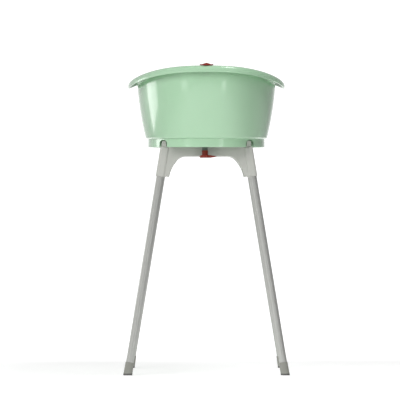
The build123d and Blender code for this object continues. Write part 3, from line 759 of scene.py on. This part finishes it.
@dataclass
class Bench:
    """One piece on the bench, and the operators that shape it."""

    piece: bpy.types.Object

    @classmethod
    def circle(cls, name: str, vertices: int, filled: bool = False) -> "Bench":
        """Start from a circle of radius 1 in the X-Y plane.

        Args:
            name: The piece's name.
            vertices: Number of points on the circle.
            filled: Whether it is a face or only a line.

        Returns:
            The bench with the circle on it.
        """
        lay_down()
        fill = "NGON" if filled else "NOTHING"
        bpy.ops.mesh.primitive_circle_add(vertices=vertices, radius=1.0, fill_type=fill)
        bpy.context.object.name = name
        return cls(bpy.context.object)

    @classmethod
    def cylinder(cls, radius: float, depth: float, place: Sequence[float]) -> "Bench":
        """Start from an upright cylinder.

        Args:
            radius: Its radius.
            depth: Its height.
            place: Its middle.

        Returns:
            The bench with the cylinder on it.
        """
        lay_down()
        bpy.ops.mesh.primitive_cylinder_add(vertices=CUTTER_SIDES, radius=radius, depth=depth,
                                            location=place)
        return cls(bpy.context.object)

    @classmethod
    def copy_of(cls, node: str, name: str) -> "Bench":
        """Start from a copy of a frame node, its triangles merged and its flat faces joined.

        Args:
            node: The frame node's name.
            name: The copy's name.

        Returns:
            The bench with the copy on it.
        """
        lay_down()
        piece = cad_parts[node].copy()
        piece.data = piece.data.copy()
        piece.name = name
        piece.parent = None
        bpy.context.scene.collection.objects.link(piece)
        bench = cls(piece)
        with bench.editing():
            bpy.ops.mesh.remove_doubles(threshold=MERGE_DISTANCE)
            bpy.ops.mesh.dissolve_limited(angle_limit=FLAT_ANGLE)
        return bench

    def take(self) -> None:
        """Make this the only selected piece and the active one."""
        lay_down()
        self.piece.hide_set(False)
        self.piece.select_set(True)
        bpy.context.view_layer.objects.active = self.piece

    @contextmanager
    def editing(self) -> Iterator[None]:
        """Edit mode with everything selected, and back again."""
        self.take()
        bpy.ops.object.mode_set(mode="EDIT")
        bpy.ops.mesh.select_mode(type="VERT")
        bpy.ops.mesh.select_all(action="SELECT")
        yield
        bpy.ops.object.mode_set(mode="OBJECT")

    def modify(self, kind: str, **settings: Any) -> None:
        """Add a modifier of a kind, set its properties and apply it."""
        self.take()
        modifier = self.piece.modifiers.new(kind.lower(), kind)
        for name, value in settings.items():
            setattr(modifier, name, value)
        bpy.ops.object.modifier_apply(modifier=modifier.name)

    def cut(self, cutter: "Bench") -> None:
        """Take a cutter's volume out of the piece and throw the cutter away."""
        self.modify("BOOLEAN", operation="DIFFERENCE", solver="EXACT", object=cutter.piece)
        bpy.data.objects.remove(cutter.piece)

    def join(self, other: "Bench") -> None:
        """Weld another piece into this one."""
        self.modify("BOOLEAN", operation="UNION", solver="EXACT", object=other.piece)
        bpy.data.objects.remove(other.piece)

    def soften(self, width: float, segments: int = 3, angle: float = 32.0) -> None:
        """Round the sharp edges.

        Args:
            width: Width of the rounding.
            segments: Faces across it.
            angle: Edges sharper than this many degrees are rounded.
        """
        self.modify("BEVEL", width=width, segments=segments, limit_method="ANGLE",
                    angle_limit=math.radians(angle), use_clamp_overlap=True,
                    miter_outer="MITER_ARC")

    def finish(self, material: bpy.types.Material, body: str, slot: str, *nodes: str,
               smooth: float = 34.0) -> None:
        """Args:
            material: Its finish.
            body: The body it moves with.
            slot: Not used.
            nodes: Frame nodes that it stands for.
            smooth: Edges sharper than this many degrees stay crisp.
        """
        self.take()
        bpy.ops.object.transform_apply(location=True, rotation=True, scale=True)
        bpy.ops.object.shade_smooth_by_angle(angle=math.radians(smooth))
        self.piece.data.materials.clear()
        self.piece.data.materials.append(material)
        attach(self.piece, body)
        if nodes:
            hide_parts(*nodes)
        log.info("%s: %d faces on %s", self.piece.name, len(self.piece.data.polygons), body)


# ------------------------ the tub
def shares(steps: int) -> list[float]:
    """Equal steps from just above 0 to 1."""
    return [step / steps for step in range(1, steps + 1)]


def curl(centre: Pair, radius: float, start: float, end: float, steps: int) -> list[Pair]:
    """Points on an arc in a plane.

    Args:
        centre: The arc's centre.
        radius: Its radius.
        start: The first point's angle in degrees.
        end: The last point's angle in degrees.
        steps: Number of equal steps between them.

    Returns:
        The points, both ends included.
    """
    turns = [math.radians(start + (end - start) * share) for share in (0.0, *shares(steps))]
    return [(centre[0] + radius * math.cos(turn), centre[1] + radius * math.sin(turn))
            for turn in turns]


@dataclass(frozen=True)
class Ring:
    """One level of the tub's section.

    Attributes:
        outward: Distance outside the wall's outer face.
        height: Above the underside of the floor, before the wave is added.
        wave: Share of the rim's wave that the ring follows.
        shrink: Scale of the whole ring, for the floor.
    """

    outward: float
    height: float
    wave: float = 0.0
    shrink: float = 1.0


@dataclass(frozen=True)
class Fineness:
    """Number of steps that each curve of the tub is drawn in.

    Attributes:
        around: Once around the tub.
        corner: From the basin's floor into its wall.
        inside: Up the wall's inner face.
        crown: The rim's inner edge.
        lip: The rim's outer curl.
        lining: The curl's hollow side.
        fillet: From the rim into the wall's outer face.
        outside: Down the wall's outer face.
        heel: From the wall under to the plinth.
        edge: Each small rounded edge.
        notch: The notches' arch.
        flare: The rounds at the notches' mouth.
        lean: Rounds of finding how far the wall leans at a height.
        rib_segments: Faces across the ribs' rounded edges.
        rib_cuts: Cuts in each edge of a rib.
    """

    around: int = 288
    corner: int = 8
    inside: int = 12
    crown: int = 5
    lip: int = 12
    lining: int = 9
    fillet: int = 4
    outside: int = 18
    heel: int = 5
    edge: int = 3
    notch: int = 20
    flare: int = 6
    lean: int = 3
    rib_segments: int = 2
    rib_cuts: int = 2


@dataclass
class BathTub:
    """The tub's moulding: basin, rolled rim, wall and hollow plinth, all one skin.

    Attributes:
        floor_z: Height of the floor's underside.
        depth: From there to the rim's crown at its lowest point.
        rim_rise: How much higher the crown is at the ends.
        wall_half: Half width and half length of the wall's outer face at the rim.
        taper: How much smaller both are at the floor.
        taper_power: How the wall curves in towards the floor.
        plan_power: Power of the superellipse seen from above.
        wall: Thickness of the moulding.
        floor_shares: Scales of the rings that the floor is made of.
        floor_round: Radius of the basin's corner.
        corner_rise: The corner's height as a share of that radius.
        wave_power: How the wave fades down the wall.
        heel_round: Radius at the wall's lower end.
        lip_overhang: How far the rim reaches outside the wall.
        lip_height: Height of the rim's outer edge.
        lip_round: Radius of the rim's outer curl.
        crown_round: Radius of the rim's inner edge.
        crown_shares: Where the rim's flat has rings.
        edge_round: Radius of the small edges.
        plinth_step: How far the plinth is set back from the wall.
        plinth_drop: The plinth's height.
        plinth_shares: Where the plinth's faces have rings.
        drain: Where the drain's hole is.
        drain_radius: Its radius.
        stopper_y: Where the stopper's hole is, on the middle line.
        stopper_hole: Radii of its sleeve and of the recess for the grommet's lip.
        grommet_lip: Depth of that recess.
        notch_x: Distance of the notches from the middle plane.
        notch_half: Half their width.
        notch_height: Their height.
        notch_flare: Radius at their mouth.
        rib_x: Where a rib begins, seen from the middle plane.
        rib_y: The ribs' far face from the middle.
        rib_drop: How far they hang below the floor.
        rib_sink: How far they reach into it.
        rib_wall: Their thickness.
        rib_round: Radius of their edges.
        smooth: Edges sharper than this many degrees stay crisp.
        fine: Steps of the curves.
    """

    floor_z: float = 0.766
    depth: float = 0.189
    rim_rise: float = 0.0485
    wall_half: Pair = (0.227, 0.434)
    taper: Pair = (0.028, 0.057)
    taper_power: float = 1.6
    plan_power: float = 2.5
    wall: float = 0.003
    floor_shares: tuple[float, ...] = (0.02, 0.2, 0.4, 0.6, 0.78, 0.9)
    floor_round: float = 0.024
    corner_rise: float = 0.93
    wave_power: float = 1.5
    heel_round: float = 0.005
    lip_overhang: float = 0.031
    lip_height: float = 0.024
    lip_round: float = 0.018
    crown_round: float = 0.004
    crown_shares: Pair = (0.3, 0.6)
    edge_round: float = 0.0011
    plinth_step: float = 0.0075
    plinth_drop: float = 0.028
    plinth_shares: Pair = (0.35, 0.65)
    drain: Pair = (-0.0049, -0.310)
    drain_radius: float = 0.019
    stopper_y: float = -0.4475
    stopper_hole: Pair = (0.0072, 0.0088)
    grommet_lip: float = 0.0006
    notch_x: float = 0.1400
    notch_half: float = 0.0124
    notch_height: float = 0.024
    notch_flare: float = 0.0025
    rib_x: float = 0.116
    rib_y: float = 0.245
    rib_drop: float = 0.025
    rib_sink: float = 0.001
    rib_wall: float = 0.0025
    rib_round: float = 0.0006
    smooth: float = 30.0
    fine: Fineness = Fineness()

    def wave(self, y: float) -> float:
        """Height of the rim's wave above its lowest point."""
        return self.rim_rise * (y / (self.wall_half[1] + self.lip_overhang)) ** 2

    def floor(self, height: float) -> list[Ring]:
        """Rings of one face of the floor, from its middle outwards."""
        outward = -self.floor_round - self.wall
        return [Ring(outward, height, shrink=share) for share in self.floor_shares]

    def basin(self) -> list[Ring]:
        """Rings from the middle of the basin's floor up the inside of the wall."""
        corner = self.corner_rise * self.floor_round
        low, high = self.wall + corner, self.depth - self.crown_round
        rings = self.floor(self.wall)
        for share in (0.0, *shares(self.fine.corner)):
            outward = (2 * share - share ** 2 - 1) * self.floor_round - self.wall
            rings.append(Ring(outward, self.wall + corner * share ** 2))
        for share in shares(self.fine.inside):
            rings.append(Ring(-self.wall, low + (high - low) * share, share ** self.wave_power))
        return rings

    def rim(self) -> list[Ring]:
        """Rings over the rolled rim, from the inside of the wall to its outside."""
        wall, edge, fine = self.wall, self.edge_round, self.fine
        flat_end = self.lip_overhang - self.lip_round
        inside = self.lip_overhang - wall
        low = edge - self.lip_height
        crown = (self.crown_round - wall, -self.crown_round)
        section = curl(crown, self.crown_round, 180, 90, fine.crown)[1:]
        section += [(flat_end * share, 0.0) for share in self.crown_shares]
        section += curl((flat_end, -self.lip_round), self.lip_round, 90, 0, fine.lip)
        section += curl((self.lip_overhang - edge, low), edge, 0, -90, fine.edge)
        section += curl((inside + edge, low), edge, -90, -180, fine.edge)
        section += curl((flat_end, -self.lip_round), self.lip_round - wall, 0, 90, fine.lining)
        section += curl((2 * edge, -wall - 2 * edge), 2 * edge, 90, 180, fine.fillet)
        return [Ring(outward, self.depth + height, 1.0) for outward, height in section]

    def outside(self, high: float) -> list[Ring]:
        """Rings down the wall's outer face, from a height to the heel."""
        return [Ring(0.0, high + (self.heel_round - high) * share, (1 - share) ** self.wave_power)
                for share in shares(self.fine.outside)]

    def plinth(self) -> list[Ring]:
        """Rings around the heel, down the plinth's outer face and up its inner one."""
        edge, drop, fine = self.edge_round, -self.plinth_drop, self.fine
        outer = -self.plinth_step
        inner = outer - self.wall
        section = curl((-self.heel_round, self.heel_round), self.heel_round, 0, -90, fine.heel)[1:]
        section += curl((outer + edge, -edge), edge, 90, 180, fine.edge)
        section += [(outer, drop * share) for share in self.plinth_shares]
        section += curl((outer - edge, drop + edge), edge, 0, -90, fine.edge)
        section += curl((inner + edge, drop + edge), edge, -90, -180, fine.edge)
        section += [(inner, drop * share) for share in reversed(self.plinth_shares)]
        section += curl((inner - edge, -edge), edge, 0, 90, fine.edge)
        return [Ring(outward, height) for outward, height in section]

    def rings(self) -> list[Ring]:
        """The section from the middle of the basin's floor over the rim to under the floor."""
        rings = self.basin() + self.rim()
        rings += self.outside(rings[-1].height)
        return rings + self.plinth() + self.floor(0.0)[::-1]

    def spot(self, ring: Ring, angle: float) -> Vector:
        """A point of a ring, on a superellipse that follows the wall's lean and the rim's wave.

        Args:
            ring: The ring.
            angle: Direction from the middle, in radians from X.

        Returns:
            The point.
        """
        power = 2 / self.plan_power
        across = math.copysign(abs(math.cos(angle)) ** power, math.cos(angle))
        along = math.copysign(abs(math.sin(angle)) ** power, math.sin(angle))
        half_x, half_y = self.wall_half
        for _ in range(self.fine.lean):
            y = along * (half_y + ring.outward) * ring.shrink
            height = ring.height + ring.wave * self.wave(y)
            rise = min(max(height / self.depth, 0.0), 1.0)
            lean = (1 - rise) ** self.taper_power
            half_x, half_y = (half - taper * lean
                              for half, taper in zip(self.wall_half, self.taper))
        return Vector((across * (half_x + ring.outward) * ring.shrink,
                       along * (half_y + ring.outward) * ring.shrink, self.floor_z + height))

    def notch_cutter(self, side: Side) -> Bench:
        """The arch-shaped bar that cuts one side's notches through both ends of the plinth."""
        half, flare, bottom = self.notch_half, self.notch_flare, -self.plinth_drop
        arch = curl((0.0, bottom + self.notch_height - half), half, 0, 180, self.fine.notch)
        left = curl((-half - flare, bottom + flare), flare, 0, -90, self.fine.flare)
        right = curl((half + flare, bottom + flare), flare, -90, -180, self.fine.flare)
        low = [(left[-1][0], bottom - flare), (right[0][0], bottom - flare)]
        outline = arch + left + low + right
        cutter = Bench.circle("notch_cutter", len(outline), filled=True)
        half_length = self.wall_half[1]
        for vertex, (x, z) in zip(cutter.piece.data.vertices, outline):
            vertex.co = (side.value * self.notch_x + x, -half_length, self.floor_z + z)
        with cutter.editing():
            through = {"value": (0, 2 * half_length, 0)}
            bpy.ops.mesh.extrude_region_move(TRANSFORM_OT_translate=through)
            bpy.ops.mesh.select_all(action="SELECT")
            bpy.ops.mesh.normals_make_consistent(inside=False)
        return cutter

    def cut_holes(self, bench: Bench) -> None:
        """Cut the drain's hole, the stopper's stepped hole and the plinth's notches."""
        drain = (*self.drain, self.floor_z)
        bench.cut(Bench.cylinder(self.drain_radius, 4 * self.wall, drain))
        crown = self.floor_z + self.depth + self.wave(self.stopper_y)
        recess = crown - self.grommet_lip + self.lip_round
        for radius, height in zip(self.stopper_hole, (crown, recess)):
            place = (0, self.stopper_y, height)
            bench.cut(Bench.cylinder(radius, 2 * self.lip_round, place))
        for side in Side:
            bench.cut(self.notch_cutter(side))

    def add_ribs(self, bench: Bench) -> None:
        """Join the short cross ribs under the floor, from beside the rails to the plinth."""
        inset = self.plinth_step + self.wall / 2
        plan_x, plan_y = (half - taper - inset for half, taper in zip(self.wall_half, self.taper))
        share = 1 - (self.rib_y / plan_y) ** self.plan_power
        reach = plan_x * share ** (1 / self.plan_power)
        size = (reach - self.rib_x, self.rib_wall, self.rib_drop + self.rib_sink)
        middle_x = (reach + self.rib_x) / 2
        middle_y = self.rib_y - self.rib_wall / 2
        middle_z = self.floor_z + (self.rib_sink - self.rib_drop) / 2
        for end in End:
            for side in Side:
                lay_down()
                bpy.ops.mesh.primitive_cube_add(size=1.0, location=(0, 0, 0))
                rib = Bench(bpy.context.object)
                place = (side.value * middle_x, end.value * middle_y, middle_z)
                with rib.editing():
                    bpy.ops.transform.resize(value=size)
                    bpy.ops.transform.translate(value=place)
                    bpy.ops.mesh.subdivide(number_cuts=self.fine.rib_cuts)
                rib.soften(self.rib_round, self.fine.rib_segments)
                bench.join(rib)

    def build(self, material: bpy.types.Material) -> None:
        """Stack one circle per ring, lay each on its ring, close the ends and cut the holes."""
        rings = self.rings()
        bench = Bench.circle("tub_moulding", self.fine.around)
        with bench.editing():
            for _ in rings[1:]:
                bpy.ops.mesh.extrude_region_move(TRANSFORM_OT_translate={"value": (0, 0, 1)})
        for vertex in bench.piece.data.vertices:
            x, y, level = vertex.co
            vertex.co = self.spot(rings[round(level)], math.atan2(y, x))
        with bench.editing():
            bpy.ops.mesh.fill_holes(sides=0)
            bpy.ops.mesh.select_all(action="SELECT")
            bpy.ops.mesh.normals_make_consistent(inside=False)
        self.cut_holes(bench)
        self.add_ribs(bench)
        bench.finish(material, "tub", "tub_green", "tub_shell", smooth=self.smooth)


# ------------------------ softened pieces
@dataclass(frozen=True)
class Softened:
    """A frame node's copy, with the soft edges of a moulded piece.

    Attributes:
        node: The frame node that it copies and stands for.
        name: The new piece's name.
        body: The body it moves with.
        slot: Name of a slot, handed on to the bench.
        finish: Its finish.
        edge: Width of its rounded edges.
    """

    node: str
    name: str
    body: str
    slot: str
    finish: Finish
    edge: float

    def build(self) -> None:
        bench = Bench.copy_of(self.node, self.name)
        bench.soften(self.edge)
        bench.finish(material_of(self.finish), self.body, self.slot, self.node)


def leg_pieces(end: End) -> list[Softened]:
    """The bracket, both feet and the soles of one end's leg frame."""
    label = end.label
    body = label + "_legs"
    feet = [f"{label}_{side.label}_foot" for side in Side]
    return [
        Softened(label + "_bracket", label + "_arch_bracket", body, "bracket_grey",
                 BRACKET_GREY, BRACKET_EDGE),
        *(Softened(foot, foot + "_shoe", body, "foot_grey", FOOT_GREY, FOOT_EDGE)
          for foot in feet),
        Softened(label + "_soles", label + "_sole_pads", body, "sole_rubber", SOLE, SOLE_EDGE),
    ]


RED_PIECES = (
    Softened("drain_tap", "turning_tap", "tap", "drain_red", SIGNAL_RED, TAP_EDGE),
    Softened("stopper", "rim_stopper", "stopper", "drain_red", SIGNAL_RED, STOPPER_EDGE),
)


# ------------------------ the frame's own nodes
def dress(node: str, material: bpy.types.Material) -> None:
    """Give a node of the frame a finish."""
    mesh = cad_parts[node].data
    mesh.materials.clear()
    mesh.materials.append(material)


@dataclass
class FrameFinishes:
    """Finishes of the pieces that keep their CAD shape.

    Attributes:
        leg_lean: Outward lean of the leg tubes, in radians.
        leg_splay: Their lean towards the nearer end of the tub, in radians.
    """

    leg_lean: float = math.radians(9.25)
    leg_splay: float = math.radians(5.0)

    def plain(self) -> dict[Finish, tuple[str, ...]]:
        """Nodes by what they are made of, but for the leg tubes."""
        return {
            BRACKET_GREY: ("front_hinge_caps", "rear_hinge_caps"),
            STEM_GREY: ("drain_body", "drain_nut"),
            BLACK_RUBBER: ("drain_gasket", "tap_seal", "rim_grommet", "tub_pads"),
            ZINC: ("drain_strainer", "hinge_bolts", "hinge_nuts",
                   "front_hinge_plates", "rear_hinge_plates",
                   "front_hinge_shaft", "rear_hinge_shaft",
                   "front_socket_screws", "rear_socket_screws"),
            FRAME_COAT: ("left_rail", "right_rail", "front_crossbar", "rear_crossbar"),
            NYLON: ("rail_end_plugs", "front_hinge_bushes", "rear_hinge_bushes"),
        }

    def dress_all(self) -> None:
        """Give each of these nodes its finish, and each tube streaks along its own axis."""
        for finish, nodes in self.plain().items():
            for node in nodes:
                dress(node, material_of(finish))
        for end in End:
            for side in Side:
                node = f"{end.label}_{side.label}_tube"
                turn = (-end.value * self.leg_splay, -side.value * self.leg_lean, 0.0)
                dress(node, material_of(AnodisedTube("anodised_" + node, turn)))
        log.info("finishes: %d kinds and the leg tubes", len(self.plain()))


def main() -> None:
    """Build the looks in order."""
    logging.basicConfig(level=logging.INFO, format="%(name)s: %(message)s")
    FrameFinishes().dress_all()
    BathTub().build(material_of(MINT))
    for piece in (*leg_pieces(End.FRONT), *leg_pieces(End.REAR), *RED_PIECES):
        piece.build()
    Studio().build()


if __name__ == "__main__":
    main()
